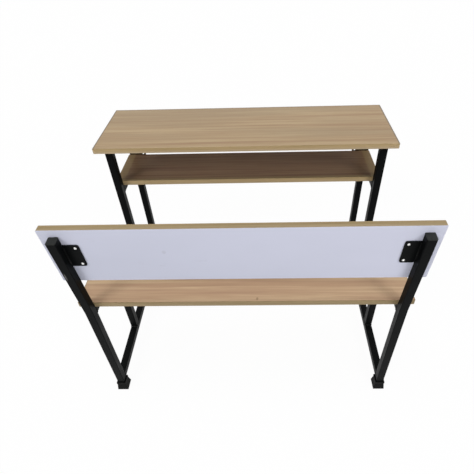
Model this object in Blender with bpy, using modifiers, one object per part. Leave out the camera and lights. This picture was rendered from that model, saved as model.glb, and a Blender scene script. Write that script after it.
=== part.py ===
"""School desk with bench: two welded frames of square steel tube carry a desktop, a book shelf,
a seat and a reclined backrest of laminated board. Metres, +Z up, +X to the sitter's right,
+Y the way the sitter faces. The origin is on the floor under the middle of the bounding box.
Places along Y are measured from the back face of the rear posts, and the root empty then moves
the whole desk to its origin.
"""
import bpy
import bmesh
from math import cos, pi, radians, sin, tan
from mathutils import Vector

# Clearances
CLEARANCE = 0.0003
OVERRUN = 0.002
MERGE = 0.00001

# Frame of square tube
TUBE = 0.025
TUBE_WALL = 0.0016
TUBE_CORNER = 0.0022
TUBE_CORNER_SEGMENTS = 4
ROUND_PROFILE = 0.5
FLOOR_RAIL_HEIGHT = 0.066
RECLINE = radians(4.5)

# Boards
BOARD = 0.018
BAND = 0.0015
CORE_CORNER = 0.0006
BAND_CORNER_SEGMENTS = 3
BAND_EASE = 0.0004
BOARD_LENGTH = 1.000
END_OVERHANG = 0.025
SEAT_HEIGHT = 0.458
SEAT_DEPTH = 0.250
SEAT_OVERHANG = 0.0288
SEAT_TO_DESK = 0.1482
DESK_HEIGHT = 0.750
DESKTOP_DEPTH = 0.295
NEAR_OVERHANG = 0.028
FAR_OVERHANG = 0.0195
BOOK_SPACE_HEIGHT = 0.146
SHELF_NEAR_GAP = 0.004
SHELF_FAR_GAP = 0.0075
BACKREST_HEIGHT = 0.198
BACKREST_ABOVE_SEAT_RAIL = 0.1285
BACKREST_ABOVE_POST = 0.0255
BACK_SHEET = 0.0008

# Steel plates
PLATE = 0.003
PLATE_REACH = 0.040
PLATE_HEIGHT = 0.080
PLATE_CORNER = 0.006
PLATE_CORNER_SEGMENTS = 4
PLATE_HOLE_INSET = 0.010
PLATE_ABOVE_MIDDLE = 0.0075
PANEL_HOLE_RADIUS = 0.0035
DESKTOP_PLATE_INSET = 0.002

# Screws
SCREW_RADIUS = 0.002
SCREW_HEAD_RADIUS = 0.004
SCREW_HEAD_HEIGHT = 0.0024
SCREW_HEAD_RIM = 0.0006
SCREW_TIP = 0.004
SCREW_SIDES = 12
DOME_POINTS = 3
SCREW_BITE = 0.0127
SEAT_SCREW_INSET = 0.040
SHELF_SCREW_INSET = 0.030

# Plastic caps and feet
CAP_HEAD = 0.003
CAP_PLUG = 0.014
CAP_EASE = 0.0008
CAP_CORNER_SEGMENTS = 4
FOOT_WALL = 0.0025
FOOT_FLANGE_REACH = 0.0037
FOOT_FLANGE_HEIGHT = 0.003
FOOT_LIP_REACH = 0.001
FOOT_LIP_HEIGHT = 0.008
FOOT_LIP_STEP = 0.002
FOOT_FLOOR = 0.005
FOOT_EASE = 0.001
EASE_SEGMENTS = 2
EASE_ANGLE = radians(30)

# Places across and up the frame, worked out from the sizes above
FRAME_WIDTH = BOARD_LENGTH - 2 * END_OVERHANG
FRAME_X = FRAME_WIDTH / 2 - TUBE / 2
INNER_X = FRAME_WIDTH / 2 - TUBE
DESK_UNDERSIDE = DESK_HEIGHT - BOARD
DESK_PLATE_TOP = DESK_UNDERSIDE - CLEARANCE
DESK_FRAME_TOP = DESK_PLATE_TOP - PLATE - CLEARANCE
SHELF_HEIGHT = DESK_UNDERSIDE - BOOK_SPACE_HEIGHT
SEAT_RAIL_TOP = SEAT_HEIGHT - BOARD - CLEARANCE
SHELF_RAIL_TOP = SHELF_HEIGHT - BOARD - CLEARANCE
SHELF_RAIL_MIDDLE = SHELF_RAIL_TOP - TUBE / 2
FLOOR_RAIL_Z = FLOOR_RAIL_HEIGHT - TUBE / 2
FOOT_HEIGHT = FLOOR_RAIL_HEIGHT - TUBE - CLEARANCE
FOOT_WAIST = TUBE + 2 * (CLEARANCE + FOOT_WALL)
TUBE_FOOT = FOOT_FLOOR + CLEARANCE

# Places along Y, from the rear post's back face
SEAT_NEAR_Y = TUBE + CLEARANCE
SEAT_FAR_Y = SEAT_NEAR_Y + SEAT_DEPTH
BENCH_LEG_Y = SEAT_FAR_Y - SEAT_OVERHANG - TUBE
DESKTOP_NEAR_Y = SEAT_FAR_Y + SEAT_TO_DESK
DESKTOP_FAR_Y = DESKTOP_NEAR_Y + DESKTOP_DEPTH
NEAR_LEG_Y = DESKTOP_NEAR_Y + NEAR_OVERHANG
FAR_LEG_Y = DESKTOP_FAR_Y - FAR_OVERHANG - TUBE
SHELF_NEAR_Y = NEAR_LEG_Y + TUBE + SHELF_NEAR_GAP
SHELF_DEPTH = FAR_LEG_Y - SHELF_FAR_GAP - SHELF_NEAR_Y

# Places of the backrest, of the plates and their screws
POST_UPPER_LENGTH = BACKREST_ABOVE_SEAT_RAIL + BACKREST_HEIGHT - BACKREST_ABOVE_POST
SHEET_OFFSET = TUBE + CLEARANCE
BACKREST_OFFSET = SHEET_OFFSET + BACK_SHEET + CLEARANCE
BACKREST_MIDDLE = BACKREST_ABOVE_SEAT_RAIL + BACKREST_HEIGHT / 2
PLATE_ALONG_POST = BACKREST_MIDDLE + PLATE_ABOVE_MIDDLE
PLATE_HOLE_X = INNER_X - PLATE_REACH + PLATE_HOLE_INSET
PLATE_HOLE_SPACING = PLATE_HEIGHT - 2 * PLATE_HOLE_INSET
SHORT_SCREW = PLATE + CLEARANCE + SCREW_BITE
LONG_SCREW = TUBE + CLEARANCE + SCREW_BITE

# The bounding box's middle along Y
POST_TOP = POST_UPPER_LENGTH + CLEARANCE + CAP_HEAD
REAR_EDGE = -POST_TOP * sin(RECLINE)
MIDDLE_Y = (REAR_EDGE + DESKTOP_FAR_Y) / 2

# Finishes: colour, roughness, metallic
BLACK_STEEL = ((0.012, 0.013, 0.014, 1), 0.42, 0.6)
WOOD = ((0.45, 0.33, 0.22, 1), 0.5, 0.0)
WOOD_EDGE = ((0.40, 0.30, 0.17, 1), 0.5, 0.0)
WHITE_LAMINATE = ((0.60, 0.61, 0.74, 1), 0.35, 0.0)
BLACK_PLASTIC = ((0.02, 0.02, 0.021, 1), 0.6, 0.0)
ZINC = ((0.75, 0.75, 0.73, 1), 0.3, 1.0)

for old in list(bpy.data.objects):
    bpy.data.objects.remove(old, do_unlink=True)

parts = bpy.data.collections.new("school_desk_with_bench")
cutters = bpy.data.collections.new("cutters")
bpy.context.scene.collection.children.link(parts)
bpy.context.scene.collection.children.link(cutters)

root = bpy.data.objects.new("desk_root", None)
root.location = (0, -MIDDLE_Y, 0)
parts.objects.link(root)


def finish_material(name, finish):
    """Make a material of one sub-part from its colour, roughness and metallic value."""
    colour, roughness, metallic = finish
    material = bpy.data.materials.new(name + "_finish")
    material.use_nodes = True
    shader = material.node_tree.nodes["Principled BSDF"]
    shader.inputs["Base Color"].default_value = colour
    shader.inputs["Roughness"].default_value = roughness
    shader.inputs["Metallic"].default_value = metallic
    return material


def add_part(name, mesh, finish, location, rotation=(0, 0, 0)):
    """Place a mesh as a named sub-part on the root."""
    part = bpy.data.objects.new(name, mesh)
    mesh.materials.append(finish_material(name, finish))
    parts.objects.link(part)
    part.parent = root
    part.location = location
    part.rotation_euler = rotation
    return part


def mesh_from(name, bm):
    """Turn a bmesh into a mesh and free it."""
    mesh = bpy.data.meshes.new(name)
    bm.to_mesh(mesh)
    bm.free()
    return mesh


def block(size):
    """Box of the given size round its own middle."""
    bm = bmesh.new()
    bmesh.ops.create_cube(bm, size=1)
    bmesh.ops.scale(bm, vec=size, verts=bm.verts)
    return bm


def edges_along(bm, axis):
    """Edges of a box that run along one axis, 0 to 2."""
    found = []
    for edge in bm.edges:
        run = edge.verts[1].co - edge.verts[0].co
        if abs(run[axis]) > run.length / 2:
            found.append(edge)
    return found


def round_edges(bm, edges, radius, segments):
    """Round edges of a bmesh with an arc."""
    bmesh.ops.bevel(bm, geom=edges, offset=radius, segments=segments, profile=ROUND_PROFILE,
                    affect="EDGES")


def rounded_walls(width, depth, height, radius, segments):
    """Walls of an upright rounded box, open at top and bottom, for a Solidify modifier."""
    bm = block((width, depth, height))
    ends = [face for face in bm.faces if abs(face.normal.z) > abs(face.normal.x) + abs(face.normal.y)]
    bmesh.ops.delete(bm, geom=ends, context="FACES_ONLY")
    round_edges(bm, edges_along(bm, 2), radius, segments)
    return bm


def solidify(part, thickness):
    """Give an open wall its thickness, inwards."""
    shell = part.modifiers.new("wall", "SOLIDIFY")
    shell.thickness = thickness
    shell.offset = -1
    shell.use_even_offset = True


def ease(part, width, segments):
    """Break the sharp edges of a part."""
    bevel = part.modifiers.new("ease", "BEVEL")
    bevel.width = width
    bevel.segments = segments
    bevel.limit_method = "ANGLE"
    bevel.angle_limit = EASE_ANGLE


def drill(targets, location, rotation, radius, start, end):
    """Cut one round hole through several parts, from start to end along the hole's own Z."""
    bm = bmesh.new()
    bmesh.ops.create_cone(bm, cap_ends=True, segments=SCREW_SIDES, radius1=radius, radius2=radius,
                          depth=end - start)
    bmesh.ops.translate(bm, vec=(0, 0, (start + end) / 2), verts=bm.verts)
    cutter = bpy.data.objects.new("hole_cutter", mesh_from("hole_cutter", bm))
    cutters.objects.link(cutter)
    cutter.parent = root
    cutter.location = location
    cutter.rotation_euler = rotation
    cutter.hide_render = True
    cutter.display_type = "WIRE"
    for target in targets:
        cut = target.modifiers.new("hole", "BOOLEAN")
        cut.operation = "DIFFERENCE"
        cut.object = cutter


def on_post(along, offset):
    """Point in the Y and Z of the reclined part: distance up it, and forward of its back face."""
    return Vector((0, offset * cos(RECLINE) - along * sin(RECLINE),
                   SEAT_RAIL_TOP + along * cos(RECLINE) + offset * sin(RECLINE)))


def at_x(point, x):
    """The same point at another X."""
    return Vector((x, point.y, point.z))


# Tubes

def upright_tube(name, x, back_y, bottom, top):
    """Square tube that stands between two heights."""
    bm = rounded_walls(TUBE, TUBE, top - bottom, TUBE_CORNER, TUBE_CORNER_SEGMENTS)
    tube = add_part(name, mesh_from(name, bm), BLACK_STEEL, (x, back_y + TUBE / 2, (bottom + top) / 2))
    solidify(tube, TUBE_WALL)
    return tube


def level_tube(name, x, start_y, end_y, z):
    """Square tube along Y between two faces, with its middle at z."""
    bm = rounded_walls(TUBE, TUBE, end_y - start_y, TUBE_CORNER, TUBE_CORNER_SEGMENTS)
    tube = add_part(name, mesh_from(name, bm), BLACK_STEEL, (x, (start_y + end_y) / 2, z), (pi / 2, 0, 0))
    solidify(tube, TUBE_WALL)
    return tube


def rear_post(name, x):
    """Tube that is upright up to the seat rail's top and leans back above it, bent at a mitre."""
    straight = SEAT_RAIL_TOP + POST_UPPER_LENGTH
    bm = rounded_walls(TUBE, TUBE, straight - TUBE_FOOT, TUBE_CORNER, TUBE_CORNER_SEGMENTS)
    bmesh.ops.translate(bm, vec=(0, TUBE / 2, (straight + TUBE_FOOT) / 2), verts=bm.verts)
    bmesh.ops.bisect_plane(bm, geom=bm.verts[:] + bm.edges[:] + bm.faces[:],
                           plane_co=(0, 0, SEAT_RAIL_TOP), plane_no=(0, 0, 1))
    for vert in bm.verts:
        along = vert.co.z - SEAT_RAIL_TOP
        if abs(along) < MERGE:
            vert.co.z += vert.co.y * tan(RECLINE / 2)
        elif along > 0:
            vert.co = at_x(on_post(along, vert.co.y), vert.co.x)
    post = add_part(name, mesh_from(name, bm), BLACK_STEEL, (x, 0, 0))
    solidify(post, TUBE_WALL)
    return post


# Boards

def banded_board(name, length, depth, location, rotation=(0, 0, 0)):
    """Board lying flat round its middle, with a strip of edge band round its four sides."""
    gap = BAND + CLEARANCE
    bm = block((length - 2 * gap, depth - 2 * gap, BOARD))
    round_edges(bm, edges_along(bm, 2), CORE_CORNER, BAND_CORNER_SEGMENTS)
    board = add_part(name + "_board", mesh_from(name, bm), WOOD, location, rotation)
    bm = rounded_walls(length, depth, BOARD, CORE_CORNER + gap, BAND_CORNER_SEGMENTS)
    band = add_part(name + "_edge_band", mesh_from(name, bm), WOOD_EDGE, location, rotation)
    solidify(band, BAND)
    ease(band, BAND_EASE, 1)
    return board


# Plates

def plate_part(name, reach, sign, location, rotation=(0, 0, 0)):
    """Flat plate, thin along its own Y, with the two corners towards the desk's middle rounded."""
    bm = block((reach, PLATE, PLATE_HEIGHT))
    free = [edge for edge in edges_along(bm, 1) if edge.verts[0].co.x * sign < 0]
    round_edges(bm, free, PLATE_CORNER, PLATE_CORNER_SEGMENTS)
    return add_part(name, mesh_from(name, bm), BLACK_STEEL, location, rotation)


# Screws, caps and feet

def screw_part(name, length, location, rotation):
    """Turned pan-head screw: the head is above its own XY plane and the shank runs down -Z."""
    rim = Vector((SCREW_HEAD_RADIUS, 0, SCREW_HEAD_RIM))
    dome = SCREW_HEAD_HEIGHT - SCREW_HEAD_RIM
    points = [Vector((0, 0, SCREW_HEAD_HEIGHT))]
    for step in range(1, DOME_POINTS):
        turn = pi / 2 * step / DOME_POINTS
        points.append(Vector((SCREW_HEAD_RADIUS * sin(turn), 0, SCREW_HEAD_RIM + dome * cos(turn))))
    points += [rim, Vector((SCREW_HEAD_RADIUS, 0, CLEARANCE)), Vector((SCREW_RADIUS, 0, CLEARANCE)),
               Vector((SCREW_RADIUS, 0, SCREW_TIP - length)), Vector((0, 0, -length))]
    bm = bmesh.new()
    verts = [bm.verts.new(point) for point in points]
    for upper, lower in zip(verts, verts[1:]):
        bm.edges.new((upper, lower))
    screw = add_part(name, mesh_from(name, bm), ZINC, location, rotation)
    turned = screw.modifiers.new("turn", "SCREW")
    turned.axis = "Z"
    turned.steps = SCREW_SIDES
    turned.render_steps = SCREW_SIDES
    turned.use_merge_vertices = True
    turned.merge_threshold = MERGE
    turned.use_smooth_shade = True
    return screw


def fasten(name, length, location, rotation, targets):
    """Drive a screw from its seat at the location into the targets, through a hole with clearance."""
    screw_part(name, length, location, rotation)
    drill(targets, location, rotation, SCREW_RADIUS + CLEARANCE, -length - CLEARANCE, OVERRUN)


def post_cap(name, x):
    """Push-in cap: a square head on the tube's end with a plug in its bore."""
    bm = block((TUBE, TUBE, CAP_HEAD))
    head_corners = edges_along(bm, 2)
    bottom = min(bm.faces, key=lambda face: face.calc_center_median().z)
    bmesh.ops.inset_region(bm, faces=[bottom], thickness=TUBE_WALL + CLEARANCE, use_even_offset=True)
    plug = bmesh.ops.extrude_discrete_faces(bm, faces=[bottom])["faces"][0]
    bmesh.ops.translate(bm, vec=(0, 0, -CAP_PLUG), verts=plug.verts)
    round_edges(bm, head_corners, TUBE_CORNER, CAP_CORNER_SEGMENTS)
    place = at_x(on_post(POST_UPPER_LENGTH + CLEARANCE + CAP_HEAD / 2, TUBE / 2), x)
    cap = add_part(name, mesh_from(name, bm), BLACK_PLASTIC, place, (RECLINE, 0, 0))
    ease(cap, CAP_EASE, EASE_SEGMENTS)


def foot(name, x, y):
    """Plastic shoe round a tube's end: its sides draw in from the floor to a lip round its mouth."""
    lip = FOOT_HEIGHT - FOOT_LIP_HEIGHT
    socket = TUBE + 2 * CLEARANCE
    flange_width = FOOT_WAIST + 2 * FOOT_FLANGE_REACH
    lip_width = FOOT_WAIST + 2 * FOOT_LIP_REACH
    sections = ((flange_width, FOOT_FLANGE_HEIGHT), (FOOT_WAIST, lip - FOOT_LIP_STEP), (lip_width, lip),
                (lip_width, FOOT_HEIGHT), (socket, FOOT_HEIGHT), (socket, FOOT_FLOOR))
    width, height = sections[0]
    bm = block((width, width, height))
    bmesh.ops.translate(bm, vec=(0, 0, height / 2), verts=bm.verts)
    top = max(bm.faces, key=lambda face: face.calc_center_median().z)
    for next_width, next_height in sections[1:]:
        top = bmesh.ops.extrude_discrete_faces(bm, faces=[top])["faces"][0]
        ratio = next_width / width
        bmesh.ops.scale(bm, vec=(ratio, ratio, 1), verts=top.verts)
        bmesh.ops.translate(bm, vec=(0, 0, next_height - height), verts=top.verts)
        width, height = next_width, next_height
    shoe = add_part(name, mesh_from(name, bm), BLACK_PLASTIC, (x, y, 0))
    ease(shoe, FOOT_EASE, EASE_SEGMENTS)


# Boards of the desk

desktop = banded_board("desktop", BOARD_LENGTH, DESKTOP_DEPTH,
                       (0, DESKTOP_NEAR_Y + DESKTOP_DEPTH / 2, DESK_HEIGHT - BOARD / 2))
shelf = banded_board("shelf", FRAME_WIDTH, SHELF_DEPTH,
                     (0, SHELF_NEAR_Y + SHELF_DEPTH / 2, SHELF_HEIGHT - BOARD / 2))
seat = banded_board("seat", BOARD_LENGTH, SEAT_DEPTH,
                    (0, SEAT_NEAR_Y + SEAT_DEPTH / 2, SEAT_HEIGHT - BOARD / 2))
backrest = banded_board("backrest", BOARD_LENGTH, BACKREST_HEIGHT,
                        on_post(BACKREST_MIDDLE, BACKREST_OFFSET + BOARD / 2), (pi / 2 + RECLINE, 0, 0))
sheet_bm = block((BOARD_LENGTH, BACKREST_HEIGHT, BACK_SHEET))
round_edges(sheet_bm, edges_along(sheet_bm, 2), CORE_CORNER + CLEARANCE + BAND, BAND_CORNER_SEGMENTS)
back_sheet = add_part("backrest_back_sheet", mesh_from("back_sheet", sheet_bm), WHITE_LAMINATE,
                      on_post(BACKREST_MIDDLE, SHEET_OFFSET + BACK_SHEET / 2), (pi / 2 + RECLINE, 0, 0))


def frame_tubes(side, x):
    """The eight welded tubes of one side; returns the two rails that screws pass through."""
    far_face = FAR_LEG_Y - CLEARANCE
    rear_post(side + "_rear_post", x)
    level_tube(side + "_floor_rail", x, TUBE + CLEARANCE, far_face, FLOOR_RAIL_Z)
    leg_foot = FLOOR_RAIL_HEIGHT + CLEARANCE
    upright_tube(side + "_bench_front_leg", x, BENCH_LEG_Y, leg_foot, SEAT_RAIL_TOP)
    upright_tube(side + "_desk_near_leg", x, NEAR_LEG_Y, leg_foot, DESK_FRAME_TOP)
    upright_tube(side + "_desk_far_leg", x, FAR_LEG_Y, TUBE_FOOT, DESK_FRAME_TOP)
    near_face = NEAR_LEG_Y + TUBE + CLEARANCE
    level_tube(side + "_top_rail", x, near_face, far_face, DESK_FRAME_TOP - TUBE / 2)
    shelf_rail = level_tube(side + "_shelf_rail", x, near_face, far_face, SHELF_RAIL_MIDDLE)
    seat_rail = level_tube(side + "_seat_rail", x, TUBE + CLEARANCE, BENCH_LEG_Y - CLEARANCE,
                           SEAT_RAIL_TOP - TUBE / 2)
    return shelf_rail, seat_rail


def frame_plates(side, sign):
    """The four plates of one side, with their screws and holes."""
    reach = PLATE_REACH - CLEARANCE
    middle_x = sign * (INNER_X - PLATE_REACH / 2 - CLEARANCE / 2)
    hole_x = sign * PLATE_HOLE_X
    half = PLATE_HOLE_SPACING / 2

    name = side + "_backrest_plate"
    place = at_x(on_post(PLATE_ALONG_POST, TUBE - PLATE / 2), middle_x)
    plate = plate_part(name, reach, sign, place, (RECLINE, 0, 0))
    for level, along in (("upper", half), ("lower", -half)):
        seat_point = at_x(on_post(PLATE_ALONG_POST + along, TUBE - PLATE), hole_x)
        fasten(side + "_backrest_screw_" + level, SHORT_SCREW, seat_point, (pi / 2 + RECLINE, 0, 0),
               (plate, back_sheet, backrest))

    name = side + "_panel_plate"
    place = (middle_x, FAR_LEG_Y + PLATE / 2, SHELF_RAIL_MIDDLE)
    plate = plate_part(name, reach, sign, place)
    for rise in (half, -half):
        drill((plate,), (hole_x, FAR_LEG_Y, SHELF_RAIL_MIDDLE + rise), (pi / 2, 0, 0), PANEL_HOLE_RADIUS,
              -PLATE - OVERRUN, OVERRUN)

    near_middle = NEAR_LEG_Y + DESKTOP_PLATE_INSET + PLATE_HEIGHT / 2
    far_middle = FAR_LEG_Y + TUBE - DESKTOP_PLATE_INSET - PLATE_HEIGHT / 2
    wide_x = sign * (FRAME_WIDTH / 2 - (TUBE + PLATE_REACH) / 2)
    for end, middle_y in (("near", near_middle), ("far", far_middle)):
        name = side + "_desktop_plate_" + end
        place = (wide_x, middle_y, DESK_PLATE_TOP - PLATE / 2)
        plate = plate_part(name, TUBE + PLATE_REACH, sign, place, (pi / 2, 0, 0))
        for number, step in (("1", -half), ("2", half)):
            fasten(side + "_desktop_screw_" + end + "_" + number, SHORT_SCREW,
                   (hole_x, middle_y + step, DESK_PLATE_TOP - PLATE), (pi, 0, 0), (plate, desktop))


def rail_screws(side, x, kind, rail, board, start, end, bottom):
    """Two long screws up through a rail into its board."""
    for number, y in (("1", start), ("2", end)):
        fasten(side + "_" + kind + "_screw_" + number, LONG_SCREW, (x, y, bottom), (pi, 0, 0), (rail, board))


for side, sign in (("left", -1), ("right", 1)):
    x = sign * FRAME_X
    shelf_rail, seat_rail = frame_tubes(side, x)
    frame_plates(side, sign)
    rail_screws(side, x, "seat", seat_rail, seat, SEAT_NEAR_Y + SEAT_SCREW_INSET,
                BENCH_LEG_Y - SEAT_SCREW_INSET, SEAT_RAIL_TOP - TUBE)
    rail_screws(side, x, "shelf", shelf_rail, shelf, SHELF_NEAR_Y + SHELF_SCREW_INSET,
                SHELF_NEAR_Y + SHELF_DEPTH - SHELF_SCREW_INSET, SHELF_RAIL_TOP - TUBE)
    post_cap(side + "_post_cap", x)
    foot(side + "_rear_foot", x, TUBE / 2)
    foot(side + "_far_foot", x, FAR_LEG_Y + TUBE / 2)
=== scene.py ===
from math import cos, pi, radians, sin, tau

import bmesh
import bpy
from mathutils import Matrix, Vector


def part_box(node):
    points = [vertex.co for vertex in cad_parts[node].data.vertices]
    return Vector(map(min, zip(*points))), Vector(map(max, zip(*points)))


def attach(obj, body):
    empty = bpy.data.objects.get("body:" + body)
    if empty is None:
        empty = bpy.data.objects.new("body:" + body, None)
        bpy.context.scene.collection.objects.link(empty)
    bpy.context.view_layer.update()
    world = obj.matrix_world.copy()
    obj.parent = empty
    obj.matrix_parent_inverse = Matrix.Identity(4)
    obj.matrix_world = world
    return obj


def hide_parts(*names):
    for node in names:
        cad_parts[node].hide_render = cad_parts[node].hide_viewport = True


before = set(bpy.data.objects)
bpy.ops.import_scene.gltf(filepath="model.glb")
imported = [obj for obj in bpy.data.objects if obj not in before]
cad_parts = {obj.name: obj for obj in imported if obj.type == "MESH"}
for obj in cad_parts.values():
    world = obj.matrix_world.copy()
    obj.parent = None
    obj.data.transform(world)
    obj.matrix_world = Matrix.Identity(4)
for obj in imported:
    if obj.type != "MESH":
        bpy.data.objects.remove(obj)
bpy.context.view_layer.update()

# Lengths are in metres, but the sensor's in millimetres. X runs to the sitter's right, Y from the
# bench to the desk's far side and Z up.

# The photograph's camera. The picture is square
PICTURE_PIXELS = 474
SENSOR = 36.0
CAMERA_PLACE = Vector((0.0630, -1.08284, 1.40364))
CAMERA_YAW = radians(-2.044)
CAMERA_PITCH = radians(-40.424)
CAMERA_ROLL = radians(-2.082)
FOCAL_PIXELS = 404.035
CENTRE_PIXEL_X = 254.0
CENTRE_PIXEL_Y = 225.0

# Each lamp's name, its direction round the desk from straight behind the bench, its height and the
# width of its source, all three in degrees, and its strength
LAMPS = (
    ("left_key", -37, 38, 24, 0.95),
    ("right_key", 37, 38, 24, 0.92),
    ("front_fill", 0, 18, 90, 0.38),
    ("overhead", 0, 86, 60, 0.76),
    ("left_high", -90, 70, 14, 0.27),
    ("right_high", 90, 70, 14, 0.27),
    ("back_fill", 180, 12, 60, 0.42),
)
WORLD_STRENGTH = 0.05
WHITE_LIGHT = (1.0, 1.0, 1.0, 1)

# The floor has one colour for the light that it throws back and one for the eye
FLOOR_SIZE = 40.0
FLOOR_COLOUR = (0.62, 0.62, 0.62, 1)
FLOOR_SEEN_COLOUR = (1.0, 1.0, 1.0, 1)
FLOOR_WHITE_SHARE = 0.96
FLOOR_ROUGHNESS = 0.9

# Colours of the finishes, linear
WOOD_LIGHT = (0.555, 0.430, 0.262, 1)
WOOD_MIDDLE = (0.453, 0.325, 0.190, 1)
WOOD_DARK = (0.332, 0.206, 0.120, 1)
WOOD_GREY = (0.377, 0.284, 0.177, 1)
WOOD_RIM = (0.150, 0.135, 0.115, 1)
# The shelf's print is about half as light as the desktop's: part of this is painted shade, standing
# in for the desktop's shadow on the shelf
SHELF_LIGHT = (0.306, 0.207, 0.122, 1)
SHELF_MIDDLE = (0.249, 0.156, 0.089, 1)
SHELF_DARK = (0.182, 0.099, 0.057, 1)
# Painted light for the shelf's lit ends and near edge, and painted shade just inside its ends
SHELF_PAINTED_LIGHT = (0.318, 0.240, 0.118, 1)
SHELF_PAINTED_SHADE = (0.150, 0.092, 0.050, 1)
# The seat's print is lighter than the desktop's: painted light that makes up for the backrest's shade
# on the seat, with a slightly redder tone of its own
SEAT_LIGHT = (0.690, 0.520, 0.328, 1)
SEAT_MIDDLE = (0.563, 0.389, 0.240, 1)
SEAT_DARK = (0.428, 0.268, 0.176, 1)
SEAT_GREY = (0.498, 0.326, 0.211, 1)
BAND_LIGHT = (0.450, 0.340, 0.195, 1)
BAND_MIDDLE = (0.400, 0.295, 0.150, 1)
BAND_DARK = (0.270, 0.200, 0.095, 1)
BAND_PALE = (0.430, 0.345, 0.235, 1)
WHITE_MIDDLE = (0.667, 0.688, 0.819, 1)
WHITE_PALE = (0.790, 0.806, 0.960, 1)
STEEL_BLACK = (0.0042, 0.0047, 0.0049, 1)
STEEL_DUSTY = (0.0105, 0.0112, 0.0114, 1)
STEEL_WORN = (0.060, 0.060, 0.058, 1)
STEEL_SCUFF = (0.150, 0.150, 0.142, 1)
CAP_BLACK = (0.022, 0.0235, 0.022, 1)
CAP_WORN = (0.048, 0.049, 0.047, 1)
FOOT_BLACK = (0.0060, 0.0062, 0.0062, 1)
FOOT_WORN = (0.022, 0.022, 0.021, 1)
ZINC_BRIGHT = (0.860, 0.860, 0.850, 1)
ZINC_DULL = (0.560, 0.560, 0.550, 1)

# Each board's wood print: its four colours, where in the pattern it starts, its gloss, the cells a
# metre across the grain of its broad clouds and of its streaks, how strong the streaks are, how
# much lighter it is at the far edge and darker at the near one, as painted light and shade, how light
# its edge band is against the band's colours, which differs from board to board as painted light and
# shade, and how far the band pales downwards
WOOD_KINDS = {
    "desktop": {
        "colours": (WOOD_LIGHT, WOOD_MIDDLE, WOOD_DARK, WOOD_GREY), "offset": (0.0, 0.0, 0.0),
        "gloss": 0.14, "broad_scale": 11.0, "streak_scale": 130.0, "streak_share": 0.50,
        "painted_gradient": 0.0, "band_share": 1.34, "band_pale_share": 0.70},
    "shelf": {
        "colours": (SHELF_LIGHT, SHELF_MIDDLE, SHELF_DARK, SHELF_MIDDLE), "offset": (3.1, 0.7, 0.3),
        "gloss": 0.07, "broad_scale": 11.0, "streak_scale": 100.0, "streak_share": 0.90,
        "painted_gradient": 0.36, "band_share": 1.15, "band_pale_share": 0.30},
    "seat": {
        "colours": (SEAT_LIGHT, SEAT_MIDDLE, SEAT_DARK, SEAT_GREY), "offset": (9.9, 3.33, 0.8),
        "gloss": 0.14, "broad_scale": 18.0, "streak_scale": 95.0, "streak_share": 0.85,
        "painted_gradient": -0.08, "band_share": 0.93, "band_pale_share": 0.30},
    "backrest": {
        "colours": (WOOD_LIGHT, WOOD_MIDDLE, WOOD_DARK, WOOD_GREY), "offset": (8.2, 2.4, 1.7),
        "gloss": 0.14, "broad_scale": 11.0, "streak_scale": 130.0, "streak_share": 0.50,
        "painted_gradient": 0.0, "band_share": 0.94, "band_pale_share": 0.30},
}

# Below, a NOISE is its cells a metre along each axis, its detail and its roughness, and a DETAIL is
# the last two of these. A RANGE is two values of a noise and the two values that these become. A
# RELIEF is a bump's depth and strength

WOOD_BROAD_LENGTHWISE = 1.4
WOOD_BROAD_DETAIL = (2.0, 0.5)
WOOD_STREAK_LENGTHWISE = 2.4
WOOD_STREAK_DETAIL = (3.0, 0.6)
WOOD_FIGURE_NOISE = ((1.3, 44.0, 44.0), 4.0, 0.62)
WOOD_FINE_NOISE = ((14.0, 900.0, 900.0), 3.0, 0.6)
WOOD_PORE_NOISE = ((45.0, 1600.0, 1600.0), 1.0, 0.5)
WOOD_FIGURE_RANGE = (0.30, 0.70, 0.0, 1.0)
WOOD_EVENED_SHARE = 0.38
WOOD_GREY_RANGE = (0.42, 0.68, 0.0, 0.75)
WOOD_DARK_STREAK = (0.50, 0.72)
WOOD_LIGHT_STREAK = (0.50, 0.28)
WOOD_LIGHT_STREAK_SHARE = 0.8
WOOD_FINE_RANGE = (0.35, 0.75, 0.0, 0.24)
WOOD_PORE_RANGE = (0.62, 0.74, 0.0, 0.35)
WOOD_ROUGHNESS_RANGE = (0.2, 0.8, 0.42, 0.56)
WOOD_PORE_DEPTH = 0.6
WOOD_RELIEF = (0.00012, 0.35)

BAND_FIGURE_NOISE = ((2.2, 120.0, 120.0), 3.0, 0.55)
BAND_BROAD_NOISE = ((4.0, 30.0, 30.0), 2.0, 0.5)
BAND_FINE_NOISE = ((16.0, 1000.0, 1000.0), 2.0, 0.6)
BAND_FIGURE_RANGE = (0.30, 0.70, 0.0, 1.0)
BAND_EVENED_SHARE = 0.45
BAND_BROAD_RANGE = (0.40, 0.70, 0.0, 0.35)
BAND_FINE_RANGE = (0.40, 0.75, 0.0, 0.22)
BAND_ROUGHNESS_RANGE = (0.2, 0.8, 0.38, 0.52)
BAND_GLOSS = 0.18
BAND_RELIEF = (0.00010, 0.30)
# It starts to pale at the first height from its middle, and is palest at the second
BAND_PALE_HEIGHTS = (0.003, -0.007)
BAND_EDGE_WIDTH = 0.0009
BAND_EDGE_SHARE = 0.55

WHITE_CLOUD_NOISE = ((3.0, 5.0, 5.0), 2.0, 0.5)
WHITE_PEBBLE_NOISE = ((1300.0, 1300.0, 1300.0), 2.0, 0.5)
WHITE_RUB_NOISE = ((9.0, 60.0, 26.0), 4.0, 0.65)
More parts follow.
